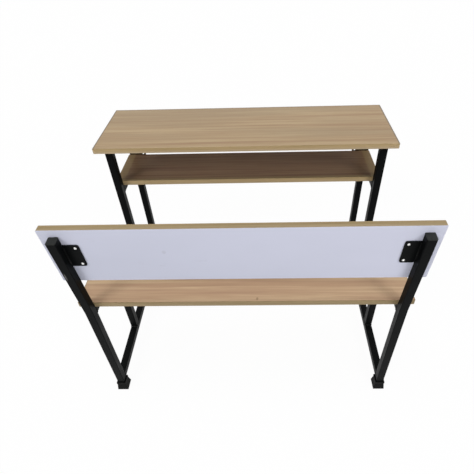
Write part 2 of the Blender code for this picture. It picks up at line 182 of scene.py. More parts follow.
# Painted light: the sheet grows paler along this direction, toward its upper right, at this rate for
# each metre, and its clouds shift that
WHITE_PAINTED_LIGHT_WAY = (0.55, 0.0, 2.2)
WHITE_CLOUD_RANGE = (0.30, 0.70, -0.10, 0.10)
WHITE_PALE_RANGE = (-0.45, 0.80, 0.0, 1.0)
WHITE_RUB_RANGE = (0.62, 0.80, 0.0, 0.10)
WHITE_ROUGHNESS_RANGE = (0.3, 0.8, 0.34, 0.50)
WHITE_GLOSS = 0.25
WHITE_RELIEF = (0.00004, 0.25)

STEEL_PEEL_NOISE = ((620.0, 620.0, 620.0), 2.0, 0.45)
STEEL_DUST_NOISE = ((26.0, 26.0, 14.0), 5.0, 0.62)
STEEL_RUB_NOISE = ((180.0, 180.0, 24.0), 3.0, 0.6)
STEEL_DUST_RANGE = (0.50, 0.78, 0.0, 0.6)
STEEL_EDGE_RADIUS = 0.0016
STEEL_EDGE_RANGE = (0.50, 0.66, 0.05, 0.8)
STEEL_SCUFF_RANGE = (0.36, 0.60, 0.45, 1.0)
STEEL_ROUGHNESS_RANGE = (0.3, 0.8, 0.34, 0.52)
STEEL_GLOSS = 0.035
STEEL_RELIEF = (0.00008, 0.30)

PLASTIC_GRAIN_NOISE = ((2200.0, 2200.0, 2200.0), 2.0, 0.5)
PLASTIC_PATCH_NOISE = ((70.0, 70.0, 70.0), 4.0, 0.6)
PLASTIC_PATCH_RANGE = (0.45, 0.75, 0.0, 0.4)
PLASTIC_EDGE_RADIUS = 0.0010
PLASTIC_EDGE_RANGE = (0.40, 0.62, 0.1, 0.8)
PLASTIC_ROUGHNESS_RANGE = (0.3, 0.8, 0.50, 0.66)
CAP_GLOSS = 0.10
FOOT_GLOSS = 0.04
PLASTIC_RELIEF = (0.00005, 0.40)

ZINC_CLOUD_NOISE = ((420.0, 420.0, 420.0), 3.0, 0.6)
ZINC_MARK_NOISE = ((3500.0, 3500.0, 900.0), 2.0, 0.5)
ZINC_CLOUD_RANGE = (0.40, 0.72, 0.0, 0.7)
ZINC_ROUGHNESS_RANGE = (0.3, 0.8, 0.24, 0.42)
ZINC_RELIEF = (0.00003, 0.30)

# Wear of an edge by how far its rounded normal leans from the face's: the cosines for none and all
EDGE_LEAN_RANGE = (0.99, 0.90, 0.0, 1.0)
EDGE_SAMPLES = 6

# Rubbed places of the black paint: middle, half size each way
SCUFFS = (
    ((-0.4695, -0.3625, 0.612), (0.0032, 0.006, 0.021)),
    ((0.4735, -0.3330, 0.205), (0.0028, 0.008, 0.016)),
    ((0.4550, 0.0980, 0.330), (0.0030, 0.006, 0.018)),
)

# A small mark on the seat and one on the back of the backrest. Marks and rubbed places are at
# their full strength inside MARK_CORE of their size
SEAT_MARK = (0.0370, -0.3112, 0.458)
SEAT_MARK_HALF_SIZE = (0.0046, 0.0075, 0.0060)
SEAT_MARK_SHARE = 0.50
SHEET_MARK = (-0.1979, -0.3410, 0.6832)
SHEET_MARK_HALF_SIZE = (0.0075, 0.0090, 0.0090)
SHEET_MARK_SHARE = 0.11
MARK_CORE = 0.35

# A greyer line on the desktop along its far edge and ends, from the outside of its band to this
# far in, where it is above this share of half the board's thickness
RIM_WIDTH = 0.0040
RIM_SOFT = 0.0012
RIM_SHARE = 0.70
RIM_HEIGHT_SHARE = 0.9

# Painted light on the shelf's ends and near edge, as far in as this, and painted shade on the ends
# beyond
PAINTED_LIGHT_WIDTH = 0.029
PAINTED_LIGHT_SOFT = 0.005
PAINTED_LIGHT_SHARE = 0.47
NEAR_PAINTED_LIGHT_WIDTH = 0.013
NEAR_PAINTED_LIGHT_SOFT = 0.004
NEAR_PAINTED_LIGHT_SHARE = 0.62
PAINTED_SHADE_START = 0.040
PAINTED_SHADE_END = 0.110
PAINTED_SHADE_SHARE = 0.34

# A normal that points this far along X is a board's end
END_NORMAL = 0.7

# Sizes that the frame gives
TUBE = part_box("left_desk_far_leg")[1].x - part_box("left_desk_far_leg")[0].x
FRAME_X = (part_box("right_desk_far_leg")[0].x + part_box("right_desk_far_leg")[1].x) / 2
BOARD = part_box("seat_board")[1].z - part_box("seat_board")[0].z

# The posts and the backrest lean back by this
RECLINE = radians(4.5)

# Directions, and the numbers of two axes
ALONG_Y = 1
ALONG_Z = 2
RIGHTWARDS = Vector((1, 0, 0))
FORWARDS = Vector((0, 1, 0))
UPWARDS = Vector((0, 0, 1))
UP_THE_BACKREST = Vector((0, -sin(RECLINE), cos(RECLINE)))
INTO_THE_BACKREST = Vector((0, cos(RECLINE), sin(RECLINE)))

# Weld beads
BEAD_RADIUS = 0.0022
BEAD_ROUNDNESS = 3
BEAD_FLUSH_DEPTH = 0.0011
BEAD_CORNER_DEPTH = 0.0006
BEAD_STEP = 0.0007
BEAD_RIPPLE = 0.0024
BEAD_RIPPLE_SHARE = 0.10
BEAD_WANDER = 0.017
BEAD_WANDER_SHARE = 0.07
BEAD_CORNER = 0.0022
BEAD_CORNER_POINTS = 4
# An open bead starts and ends this thin, as far as this from the ends of what it joins
BEAD_END_SHARE = 0.45
BEAD_END_ROOM = 3 * BEAD_RADIUS
# The bead of a backrest plate lies this far behind the plate's middle
BEAD_BEHIND_PLATE = 0.9 * BEAD_RADIUS

# Screws
HEAD_RADIUS = 0.0040
HEAD_HEIGHT = 0.0024
HEAD_RIM = 0.0007
HEAD_RINGS = 14
SHANK_RADIUS = 0.0019
THREAD_PITCH = 0.0014
THREAD_DEPTH = 0.0005
THREAD_RINGS = 6
TIP_LENGTH = 0.0042
TIP_SHARE = 0.06
RECESS_ARM = 0.0023
RECESS_DEPTH = 0.0012
# The recess ends this far from an arm's middle line, and its sides and ends slope over this much
RECESS_HALF_WIDTH = 0.00075
RECESS_SIDE_SLOPE = 0.0003
RECESS_END_SLOPE = 0.0010
SCREW_TURN_POINTS = 32
SCREW_SHARP_ANGLE = radians(50)
# Each screw is turned this much further than the one before, in radians
SCREW_TURN = 1.1
# Screws whose lengths agree to this many decimals share a mesh
LENGTH_DECIMALS = 4

# Smoothing of the CAD nodes
MERGE = 0.00001
SMOOTH_ANGLE = radians(40)

# A Mix node's sockets for each kind of value: the share, the first and second value, the result
MIX_SOCKETS = {"RGBA": (0, 6, 7, 2), "VECTOR": (0, 4, 5, 1)}


# Node trees

def add_node(tree, kind, settings=None, inputs=None):
    """Add a node, with its settings, and its inputs given as values or as sockets to link."""
    made = tree.nodes.new(kind)
    for key, value in (settings or {}).items():
        setattr(made, key, value)
    for key, value in (inputs or {}).items():
        if isinstance(value, bpy.types.NodeSocket):
            tree.links.new(value, made.inputs[key])
        else:
            made.inputs[key].default_value = value
    return made


def new_material(name):
    """An empty node material with its Principled shader."""
    material = bpy.data.materials.new(name)
    material.use_nodes = True
    tree = material.node_tree
    return material, tree, tree.nodes["Principled BSDF"]


def stretched_noise(tree, coords, scale, detail, roughness):
    """Noise whose cells are stretched: a scale for each axis, in cells a metre."""
    mapped = add_node(tree, "ShaderNodeMapping", {}, {"Vector": coords, "Scale": scale})
    noise = add_node(tree, "ShaderNodeTexNoise", {}, {
        "Vector": mapped.outputs["Vector"], "Scale": 1.0, "Detail": detail, "Roughness": roughness})
    return noise.outputs["Fac"]


def spread(tree, value, low, high, to_low, to_high):
    """Map a value's range onto another, with soft ends."""
    mapped = add_node(tree, "ShaderNodeMapRange", {"interpolation_type": "SMOOTHSTEP"}, {
        "Value": value, "From Min": low, "From Max": high, "To Min": to_low, "To Max": to_high})
    return mapped.outputs["Result"]


def blend(tree, share, first, second, kind="RGBA"):
    """Mix two colours, or two vectors, by a share."""
    at_share, at_first, at_second, at_result = MIX_SOCKETS[kind]
    mix = add_node(tree, "ShaderNodeMix", {"data_type": kind}, {
        at_share: share, at_first: first, at_second: second})
    return mix.outputs[at_result]


def overlay(tree, colour, over, value, value_range):
    """Lay a colour over another where a value is in its range."""
    return blend(tree, spread(tree, value, *value_range), colour, over)


def calculate(tree, operation, *values):
    """One step of arithmetic."""
    inputs = dict(enumerate(values))
    return add_node(tree, "ShaderNodeMath", {"operation": operation}, inputs).outputs[0]


def calculate_vector(tree, operation, inputs, output="Vector"):
    """One step of arithmetic with vectors."""
    return add_node(tree, "ShaderNodeVectorMath", {"operation": operation}, inputs).outputs[output]


def object_coordinates(tree, offset=(0, 0, 0)):
    """Coordinates fixed to the object, shifted by an offset."""
    coords = add_node(tree, "ShaderNodeTexCoord").outputs["Object"]
    return calculate_vector(tree, "ADD", {0: coords, 1: offset})


def grain_coordinates(tree, offset):
    """Coordinates whose X runs along the grain: along X, and along Y at a board's ends."""
    moved = object_coordinates(tree, offset)
    parts = add_node(tree, "ShaderNodeSeparateXYZ", {}, {"Vector": moved}).outputs
    swapped = add_node(tree, "ShaderNodeCombineXYZ", {}, {
        "X": parts["Y"], "Y": parts["X"], "Z": parts["Z"]})
    normal = add_node(tree, "ShaderNodeSeparateXYZ", {}, {
        "Vector": add_node(tree, "ShaderNodeTexCoord").outputs["Normal"]})
    lean = calculate(tree, "ABSOLUTE", normal.outputs["X"])
    on_end = calculate(tree, "GREATER_THAN", lean, END_NORMAL)
    return blend(tree, on_end, moved, swapped.outputs["Vector"], "VECTOR")


def blot(tree, middle, half_size, share):
    """A share at a small place, that fades out round it."""
    from_middle = object_coordinates(tree, tuple(-Vector(middle)))
    scaled = calculate_vector(tree, "DIVIDE", {0: from_middle, 1: half_size})
    away = calculate_vector(tree, "LENGTH", {0: scaled}, "Value")
    return spread(tree, away, 1.0, MARK_CORE, 0.0, share)


def edge_wear(tree, radius):
    """1 at the edges of a part and 0 on its faces, by how far a rounded normal leans."""
    rounded = add_node(tree, "ShaderNodeBevel", {"samples": EDGE_SAMPLES}, {"Radius": radius})
    face = add_node(tree, "ShaderNodeNewGeometry")
    lean = calculate_vector(tree, "DOT_PRODUCT", {
        0: rounded.outputs["Normal"], 1: face.outputs["True Normal"]}, "Value")
    return spread(tree, lean, *EDGE_LEAN_RANGE)


def set_surface(tree, shader, colour, roughness, height, relief):
    """Link a shader's colour and roughness, and give it relief from a height."""
    distance, strength = relief
    made = add_node(tree, "ShaderNodeBump", {}, {
        "Height": height, "Distance": distance, "Strength": strength})
    tree.links.new(colour, shader.inputs["Base Color"])
    tree.links.new(roughness, shader.inputs["Roughness"])
    tree.links.new(made.outputs["Normal"], shader.inputs["Normal"])


# Materials

def place_on_board(tree, board):
    """Where a point lies from a banded board's middle, in metres, and the board's half size."""
    low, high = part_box(board + "_edge_band")
    centred = object_coordinates(tree, tuple((low + high) / -2))
    return add_node(tree, "ShaderNodeSeparateXYZ", {}, {"Vector": centred}).outputs, (high - low) / 2


def rim_line(tree, board, colour):
    """The greyer line on top of a board, along its far edge and its ends."""
    place, half = place_on_board(tree, board)
    beyond_end = calculate(tree, "SUBTRACT", calculate(tree, "ABSOLUTE", place["X"]), half.x)
    beyond_far = calculate(tree, "SUBTRACT", place["Y"], half.y)
    beyond = calculate(tree, "MAXIMUM", beyond_end, beyond_far)
    line = spread(tree, beyond, -RIM_WIDTH - RIM_SOFT, -RIM_WIDTH + RIM_SOFT, 0.0, RIM_SHARE)
    on_top = calculate(tree, "GREATER_THAN", place["Z"], half.z * RIM_HEIGHT_SHARE)
    return blend(tree, calculate(tree, "MULTIPLY", line, on_top), colour, WOOD_RIM)


def painted_light_strip(tree, inwards, width, soft, share, colour):
    """A strip of painted light as far in from an edge as its width, with a soft border."""
    return overlay(tree, colour, SHELF_PAINTED_LIGHT, inwards, (width + soft, width - soft, 0.0, share))


def painted_light_and_shade_at_ends(tree, board, colour):
    """Painted light in strips along a board's ends and near edge, and painted shade that fades out
    past its ends' strips.
    """
    place, half = place_on_board(tree, board)
    from_end = calculate(tree, "SUBTRACT", half.x, calculate(tree, "ABSOLUTE", place["X"]))
    from_near = calculate(tree, "ADD", place["Y"], half.y)
    colour = overlay(tree, colour, SHELF_PAINTED_SHADE, from_end, (PAINTED_SHADE_END, PAINTED_SHADE_START, 0.0, PAINTED_SHADE_SHARE))
    colour = painted_light_strip(tree, from_end, PAINTED_LIGHT_WIDTH, PAINTED_LIGHT_SOFT, PAINTED_LIGHT_SHARE, colour)
    return painted_light_strip(tree, from_near, NEAR_PAINTED_LIGHT_WIDTH, NEAR_PAINTED_LIGHT_SOFT,
                          NEAR_PAINTED_LIGHT_SHARE, colour)


def painted_light_and_shade_gradient(tree, board, colour, painted_gradient):
    """Painted light and shade: the print made lighter toward the board's far edge and darker toward
    its near one, the other way round where the share is below 0.
    """
    place, half = place_on_board(tree, board)
    strength = calculate(tree, "MULTIPLY_ADD", place["Y"], painted_gradient / half.y, 1.0)
    return calculate_vector(tree, "SCALE", {0: colour, "Scale": strength})


def wood_material(name, kind):
    """Printed wood laminate: long soft streaks, fine grain lines and short dark pores."""
    material, tree, shader = new_material(name + "_wood")
    light, middle, dark, grey = kind["colours"]
    streaks = kind["streak_share"]
    broad_scale = (WOOD_BROAD_LENGTHWISE, kind["broad_scale"], kind["broad_scale"])
    streak_scale = (WOOD_STREAK_LENGTHWISE, kind["streak_scale"], kind["streak_scale"])
    coords = grain_coordinates(tree, kind["offset"])
    broad = stretched_noise(tree, coords, broad_scale, *WOOD_BROAD_DETAIL)
    streak = stretched_noise(tree, coords, streak_scale, *WOOD_STREAK_DETAIL)
    figure = stretched_noise(tree, coords, *WOOD_FIGURE_NOISE)
    fine = stretched_noise(tree, coords, *WOOD_FINE_NOISE)
    pores = stretched_noise(tree, coords, *WOOD_PORE_NOISE)

    colour = overlay(tree, dark, light, figure, WOOD_FIGURE_RANGE)
    colour = blend(tree, WOOD_EVENED_SHARE, colour, middle)
    colour = overlay(tree, colour, grey, broad, WOOD_GREY_RANGE)
    colour = overlay(tree, colour, dark, streak, (*WOOD_DARK_STREAK, 0.0, streaks))
    colour = overlay(tree, colour, light, streak,
                     (*WOOD_LIGHT_STREAK, 0.0, streaks * WOOD_LIGHT_STREAK_SHARE))
    colour = overlay(tree, colour, dark, fine, WOOD_FINE_RANGE)
    colour = overlay(tree, colour, dark, pores, WOOD_PORE_RANGE)
    if name == "desktop":
        colour = rim_line(tree, name, colour)
    # Painted light on the shelf's ends and near edge, and painted shade inside its ends
    if name == "shelf":
        colour = painted_light_and_shade_at_ends(tree, name, colour)
    if name == "seat":
        mark = blot(tree, SEAT_MARK, SEAT_MARK_HALF_SIZE, SEAT_MARK_SHARE)
        colour = blend(tree, mark, colour, SHELF_DARK)
    # Painted light and shade across the board's depth
    if kind["painted_gradient"]:
        colour = painted_light_and_shade_gradient(tree, name, colour, kind["painted_gradient"])

    roughness = spread(tree, fine, *WOOD_ROUGHNESS_RANGE)
    height = calculate(tree, "SUBTRACT", fine, calculate(tree, "MULTIPLY", pores, WOOD_PORE_DEPTH))
    set_surface(tree, shader, colour, roughness, height, WOOD_RELIEF)
    shader.inputs["Specular IOR Level"].default_value = kind["gloss"]
    return material


def band_material(name, kind, middle_point, across):
    """Edge band: a plainer wood print, paler downwards, with a darker line along each edge."""
    material, tree, shader = new_material(name + "_band")
    # The band's colours are scaled by a share that differs from board to board: painted light and
    # shade
    light, middle, dark, pale = (
        tuple(part * kind["band_share"] for part in colour[:3]) + (1,)
        for colour in (BAND_LIGHT, BAND_MIDDLE, BAND_DARK, BAND_PALE))
    coords = grain_coordinates(tree, kind["offset"])
    figure = stretched_noise(tree, coords, *BAND_FIGURE_NOISE)
    broad = stretched_noise(tree, coords, *BAND_BROAD_NOISE)
    fine = stretched_noise(tree, coords, *BAND_FINE_NOISE)
    from_middle = object_coordinates(tree, tuple(-middle_point))
    height = calculate_vector(tree, "DOT_PRODUCT", {0: from_middle, 1: tuple(across)}, "Value")
    away = calculate(tree, "ABSOLUTE", height)

    colour = overlay(tree, dark, light, figure, BAND_FIGURE_RANGE)
    colour = blend(tree, BAND_EVENED_SHARE, colour, middle)
    colour = overlay(tree, colour, light, broad, BAND_BROAD_RANGE)
    colour = overlay(tree, colour, dark, fine, BAND_FINE_RANGE)
    colour = overlay(tree, colour, pale, height, (*BAND_PALE_HEIGHTS, 0.0, kind["band_pale_share"]))
    colour = overlay(tree, colour, dark, away,
                     (BOARD / 2 - BAND_EDGE_WIDTH, BOARD / 2, 0.0, BAND_EDGE_SHARE))
    if name == "desktop":
        colour = rim_line(tree, name, colour)

    roughness = spread(tree, fine, *BAND_ROUGHNESS_RANGE)
    set_surface(tree, shader, colour, roughness, fine, BAND_RELIEF)
    shader.inputs["Specular IOR Level"].default_value = BAND_GLOSS
    return material


def white_material():
    """Pale balancing laminate: a slightly pebbled sheet with faint clouds, rubbed marks and painted
    light that grows toward its upper right.
    """
    material, tree, shader = new_material("white_laminate_finish")
    coords = object_coordinates(tree)
    clouds = stretched_noise(tree, coords, *WHITE_CLOUD_NOISE)
    pebbles = stretched_noise(tree, coords, *WHITE_PEBBLE_NOISE)
    rubs = stretched_noise(tree, coords, *WHITE_RUB_NOISE)
    # Painted light: the sheet is lighter toward its upper right
    place = calculate_vector(tree, "DOT_PRODUCT", {0: coords, 1: WHITE_PAINTED_LIGHT_WAY}, "Value")
    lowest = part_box("backrest_back_sheet")[0].z * WHITE_PAINTED_LIGHT_WAY[2]
    painted_lighter = calculate(tree, "ADD", calculate(tree, "SUBTRACT", place, lowest),
                      spread(tree, clouds, *WHITE_CLOUD_RANGE))

    colour = overlay(tree, WHITE_MIDDLE, WHITE_PALE, painted_lighter, WHITE_PALE_RANGE)
    colour = overlay(tree, colour, STEEL_WORN, rubs, WHITE_RUB_RANGE)
    mark = blot(tree, SHEET_MARK, SHEET_MARK_HALF_SIZE, SHEET_MARK_SHARE)
    colour = blend(tree, mark, colour, STEEL_WORN)

    roughness = spread(tree, rubs, *WHITE_ROUGHNESS_RANGE)
    set_surface(tree, shader, colour, roughness, pebbles, WHITE_RELIEF)
    shader.inputs["Specular IOR Level"].default_value = WHITE_GLOSS
    return material


def steel_material():
    """Satin black powder coat: orange-peel relief, thin dust on it, and rubbed edges."""
    material, tree, shader = new_material("black_steel_finish")
    coords = object_coordinates(tree)
    peel = stretched_noise(tree, coords, *STEEL_PEEL_NOISE)
    dust = stretched_noise(tree, coords, *STEEL_DUST_NOISE)
    rubs = stretched_noise(tree, coords, *STEEL_RUB_NOISE)

    colour = overlay(tree, STEEL_BLACK, STEEL_DUSTY, dust, STEEL_DUST_RANGE)
    worn = calculate(tree, "MULTIPLY", edge_wear(tree, STEEL_EDGE_RADIUS),
                     spread(tree, rubs, *STEEL_EDGE_RANGE))
    colour = blend(tree, worn, colour, STEEL_WORN)
    for middle, half_size in SCUFFS:
        rubbed = calculate(tree, "MULTIPLY", blot(tree, middle, half_size, 1.0),
                           spread(tree, rubs, *STEEL_SCUFF_RANGE))
        colour = blend(tree, rubbed, colour, STEEL_SCUFF)

    roughness = spread(tree, dust, *STEEL_ROUGHNESS_RANGE)
    set_surface(tree, shader, colour, roughness, peel, STEEL_RELIEF)
    shader.inputs["Specular IOR Level"].default_value = STEEL_GLOSS
    return material


def plastic_material(name, black, worn_colour, gloss):
    """Moulded black plastic with a fine spark-eroded grain and scuffed edges."""
    material, tree, shader = new_material(name)
    coords = object_coordinates(tree)
    grain = stretched_noise(tree, coords, *PLASTIC_GRAIN_NOISE)
    patches = stretched_noise(tree, coords, *PLASTIC_PATCH_NOISE)

    colour = overlay(tree, black, worn_colour, patches, PLASTIC_PATCH_RANGE)
    worn = calculate(tree, "MULTIPLY", edge_wear(tree, PLASTIC_EDGE_RADIUS),
                     spread(tree, patches, *PLASTIC_EDGE_RANGE))
    colour = blend(tree, worn, colour, worn_colour)

    roughness = spread(tree, patches, *PLASTIC_ROUGHNESS_RANGE)
    set_surface(tree, shader, colour, roughness, grain, PLASTIC_RELIEF)
    shader.inputs["Specular IOR Level"].default_value = gloss
    return material


def zinc_material():
    """Bright zinc plate with faint clouding and tool marks."""
    material, tree, shader = new_material("zinc_finish")
    coords = object_coordinates(tree)
    clouds = stretched_noise(tree, coords, *ZINC_CLOUD_NOISE)
    marks = stretched_noise(tree, coords, *ZINC_MARK_NOISE)
    colour = overlay(tree, ZINC_BRIGHT, ZINC_DULL, clouds, ZINC_CLOUD_RANGE)
    roughness = spread(tree, clouds, *ZINC_ROUGHNESS_RANGE)
    set_surface(tree, shader, colour, roughness, marks, ZINC_RELIEF)
    shader.inputs["Metallic"].default_value = 1.0
    return material


STEEL = steel_material()
CAP_PLASTIC = plastic_material("cap_plastic", CAP_BLACK, CAP_WORN, CAP_GLOSS)
FOOT_PLASTIC = plastic_material("foot_plastic", FOOT_BLACK, FOOT_WORN, FOOT_GLOSS)
ZINC = zinc_material()
WHITE = white_material()


# The CAD nodes keep their shape. Modifiers weld their split corners and smooth the round ones

def smoothing_group():
    """Geometry nodes that weld a mesh and shade it smooth but for its sharp edges."""
    group = bpy.data.node_groups.new("weld_and_smooth", "GeometryNodeTree")
    group.interface.new_socket("Geometry", in_out="INPUT", socket_type="NodeSocketGeometry")
    group.interface.new_socket("Geometry", in_out="OUTPUT", socket_type="NodeSocketGeometry")
    start = add_node(group, "NodeGroupInput")
    welded = add_node(group, "GeometryNodeMergeByDistance", {}, {
        "Geometry": start.outputs[0], "Distance": MERGE})
    angle = add_node(group, "GeometryNodeInputMeshEdgeAngle")
    round_edge = add_node(group, "FunctionNodeCompare", {"operation": "LESS_EQUAL"}, {
        0: angle.outputs["Unsigned Angle"], 1: SMOOTH_ANGLE})
    smooth = add_node(group, "GeometryNodeSetShadeSmooth", {"domain": "FACE"}, {
        "Geometry": welded.outputs["Geometry"], "Shade Smooth": True})
    sharp = add_node(group, "GeometryNodeSetShadeSmooth", {"domain": "EDGE"}, {
        "Geometry": smooth.outputs["Geometry"], "Shade Smooth": round_edge.outputs[0]})
    add_node(group, "NodeGroupOutput", {}, {0: sharp.outputs["Geometry"]})
    return group


def smooth_node(part, group):
    """Weld and smooth a CAD node, with its large faces kept flat in the shading."""
    smooth = part.modifiers.new("weld_and_smooth", "NODES")
    smooth.node_group = group
    weighted = part.modifiers.new("flat_faces", "WEIGHTED_NORMAL")
    weighted.keep_sharp = True


def put_material(part, material):
    """Give a CAD node one material in place of its own."""
    part.data.materials.clear()
    part.data.materials.append(material)


def dress_boards():
    """Each board and its band in their own print."""
    for name, kind in WOOD_KINDS.items():
        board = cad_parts[name + "_board"]
        put_material(board, wood_material(name, kind))
        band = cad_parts[name + "_edge_band"]
        low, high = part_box(name + "_edge_band")
        across = INTO_THE_BACKREST if name == "backrest" else UPWARDS
        put_material(band, band_material(name, kind, (low + high) / 2, across))


def dress_rest():
    """Steel, plastic and white laminate on the other nodes."""
    for name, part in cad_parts.items():
        if name.endswith(("_board", "_edge_band")) or "_screw_" in name:
            continue
        if name == "backrest_back_sheet":
            material, slot = WHITE, "white_laminate"
        elif name.endswith("_post_cap"):
            material, slot = CAP_PLASTIC, "black_plastic"
        elif name.endswith("_foot"):
            material, slot = FOOT_PLASTIC, "black_plastic"
        else:
            material, slot = STEEL, "black_steel"
        put_material(part, material)


# Weld beads

def bead_share(along, phase):
    """Thickness of a bead along its run: the ripples of the melt and a slow wander."""
    ripple = BEAD_RIPPLE_SHARE * sin(tau * along / BEAD_RIPPLE)
    wander = BEAD_WANDER_SHARE * sin(tau * along / BEAD_WANDER + phase)
    return 1 + ripple + wander


def even_points(corners, cyclic):
    """Points at an even step along a run of straight stretches."""
    ends = corners[1:] + corners[:1] if cyclic else corners[1:]
    stretches = list(zip(corners, ends))
    total = sum((end - start).length for start, end in stretches)
    count = round(total / BEAD_STEP)
    step = total / count
    points = []
    passed = 0.0
    for start, end in stretches:
        length = (end - start).length
        to_the_end = not cyclic and end is corners[-1]
        while (len(points) * step < passed + length - step / 2
               or to_the_end and len(points) <= count):
            share = min(1.0, (len(points) * step - passed) / length)
            points.append(start.lerp(end, share))
        passed += length
    return points


def bead(name, corners, cyclic, phase):
    """A round bead along a run of straight stretches, as a curve with a bevel."""
    points = even_points(corners, cyclic)
    data = bpy.data.curves.new(name, "CURVE")
    data.dimensions = "3D"
    data.bevel_depth = BEAD_RADIUS
    data.bevel_resolution = BEAD_ROUNDNESS
    data.use_fill_caps = not cyclic
    spline = data.splines.new("POLY")
    spline.points.add(len(points) - 1)
    spline.use_cyclic_u = cyclic
    spline.use_smooth = True
    for number, point in enumerate(points):
        share = bead_share(number * BEAD_STEP, phase)
        if not cyclic:
            from_end = min(number, len(points) - 1 - number) * BEAD_STEP
            share *= min(1.0, BEAD_END_SHARE + (1 - BEAD_END_SHARE) * from_end / BEAD_RADIUS)
        spline.points[number].co = (*point, 1)
        spline.points[number].radius = share
    made = bpy.data.objects.new(name, data)
    bpy.context.scene.collection.objects.link(made)
    data.materials.append(STEEL)
    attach(made, "root")


def ring_bead(name, middle, flush, open_way, phase):
    """Bead round the square end of a tube: flush faces of the two tubes lie across one axis."""
    half_flush = TUBE / 2 - BEAD_FLUSH_DEPTH
    half_open = TUBE / 2 + BEAD_CORNER_DEPTH
    corners = []
    for quarter, (a, b) in enumerate(((1, 1), (-1, 1), (-1, -1), (1, -1))):
        for step in range(BEAD_CORNER_POINTS):
            turn = (quarter + step / (BEAD_CORNER_POINTS - 1)) * pi / 2
            across = a * (half_flush - BEAD_CORNER) + BEAD_CORNER * cos(turn)
            over = b * (half_open - BEAD_CORNER) + BEAD_CORNER * sin(turn)
            corners.append(middle + flush * across + open_way * over)
    bead(name, corners, True, phase)


def tube_end(node, axis, end):
    """Middle of the low (0) or high (1) end of a tube along an axis."""
    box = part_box(node)
    middle = (box[0] + box[1]) / 2
    middle[axis] = box[end][axis]
    return middle


def side_welds(side, sign):
    """All the beads of one side frame."""
    number = 0
    for rail in ("floor_rail", "seat_rail", "shelf_rail", "top_rail"):
        for end, word in enumerate(("rear", "far")):
            middle = tube_end(side + "_" + rail, ALONG_Y, end)
            ring_bead(side + "_" + rail + "_" + word + "_weld", middle, RIGHTWARDS, UPWARDS, number)
            number += 1
    for leg in ("bench_front_leg", "desk_near_leg"):
        middle = tube_end(side + "_" + leg, ALONG_Z, 0)
        ring_bead(side + "_" + leg + "_weld", middle, RIGHTWARDS, FORWARDS, number)
        number += 1

    inner_x = sign * (FRAME_X - TUBE / 2)
    low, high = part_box(side + "_backrest_plate")
    centre = (low + high) / 2 - INTO_THE_BACKREST * BEAD_BEHIND_PLATE
    centre.x = inner_x
    reach = UP_THE_BACKREST * ((high.z - low.z) / 2 - BEAD_END_ROOM)
    bead(side + "_backrest_plate_weld", [centre - reach, centre + reach], False, number)

    low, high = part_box(side + "_panel_plate")
    start = Vector((inner_x, low.y, low.z + BEAD_END_ROOM))
    end = Vector((inner_x, low.y, high.z - BEAD_END_ROOM))
    bead(side + "_panel_plate_weld", [start, end], False, number)

    for place, near_room, far_room in (("near", TUBE, 0.0), ("far", 0.0, TUBE)):
        low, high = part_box(side + "_desktop_plate_" + place)
        start = Vector((inner_x, low.y + BEAD_END_ROOM + near_room, low.z))
        end = Vector((inner_x, high.y - BEAD_END_ROOM - far_room, low.z))
        bead(side + "_desktop_plate_" + place + "_weld", [start, end], False, number)


# Screws

def recess_share(x, y):
    """How deep the cross recess is at a place of the head: 1 inside its arms, 0 outside."""
    deepest = 0.0
    for along, aside in ((abs(x), abs(y)), (abs(y), abs(x))):
        if along < RECESS_ARM:
            side_share = max(0.0, min(1.0, (RECESS_HALF_WIDTH - aside) / RECESS_SIDE_SLOPE))
            end_share = max(0.0, min(1.0, (RECESS_ARM - along) / RECESS_END_SLOPE))
            deepest = max(deepest, side_share * end_share)
    return deepest


def head_point(radius, z, turn):
    """A point of the head, sunk where the cross recess is."""
    x, y = radius * cos(turn), radius * sin(turn)
    return x, y, min(z, z + recess_share(x, y) * (-RECESS_DEPTH - z))


def thread_point(z, turn, length):
    """A point of the thread, which winds round the shank and tapers into the tip."""
    phase = (-z / THREAD_PITCH - turn / tau) % 1.0
    crest = 1 - abs(2 * phase - 1)
    taper = min(1.0, (length + z) / TIP_LENGTH)
    radius = (SHANK_RADIUS - THREAD_DEPTH * (1 - crest)) * (TIP_SHARE + (1 - TIP_SHARE) * taper)
    return radius * cos(turn), radius * sin(turn), z


def screw_mesh(name, length):
    """Pan-head screw with a cross recess and a thread: the head's top is at 0, the tip at -length."""
    turns = [tau * step / SCREW_TURN_POINTS for step in range(SCREW_TURN_POINTS)]
    rings = []
    for ring in range(1, HEAD_RINGS + 1):
        share = ring / HEAD_RINGS
        z = -(HEAD_HEIGHT - HEAD_RIM) * (1 - cos(share * pi / 2))
        rings.append([head_point(HEAD_RADIUS * share, z, turn) for turn in turns])
    for radius in (HEAD_RADIUS, SHANK_RADIUS):
        rings.append([(radius * cos(turn), radius * sin(turn), -HEAD_HEIGHT) for turn in turns])
    for step in range(1, round((length - HEAD_HEIGHT) / THREAD_PITCH * THREAD_RINGS)):
        z = -HEAD_HEIGHT - step * THREAD_PITCH / THREAD_RINGS
        rings.append([thread_point(z, turn, length) for turn in turns])

    bm = bmesh.new()
    crown = bm.verts.new((0, 0, -RECESS_DEPTH))
    loops = [[bm.verts.new(point) for point in ring] for ring in rings]
    sides = [(step, (step + 1) % SCREW_TURN_POINTS) for step in range(SCREW_TURN_POINTS)]
    for step, after in sides:
        bm.faces.new((crown, loops[0][step], loops[0][after]))
    for upper, lower in zip(loops, loops[1:]):
        for step, after in sides:
            bm.faces.new((upper[step], lower[step], lower[after], upper[after]))
    bm.faces.new(reversed(loops[-1]))
    bmesh.ops.recalc_face_normals(bm, faces=bm.faces)
    mesh = bpy.data.meshes.new(name)
    bm.to_mesh(mesh)
    bm.free()
    mesh.shade_smooth()
    mesh.set_sharp_from_angle(angle=SCREW_SHARP_ANGLE)
    mesh.materials.append(ZINC)
    return mesh


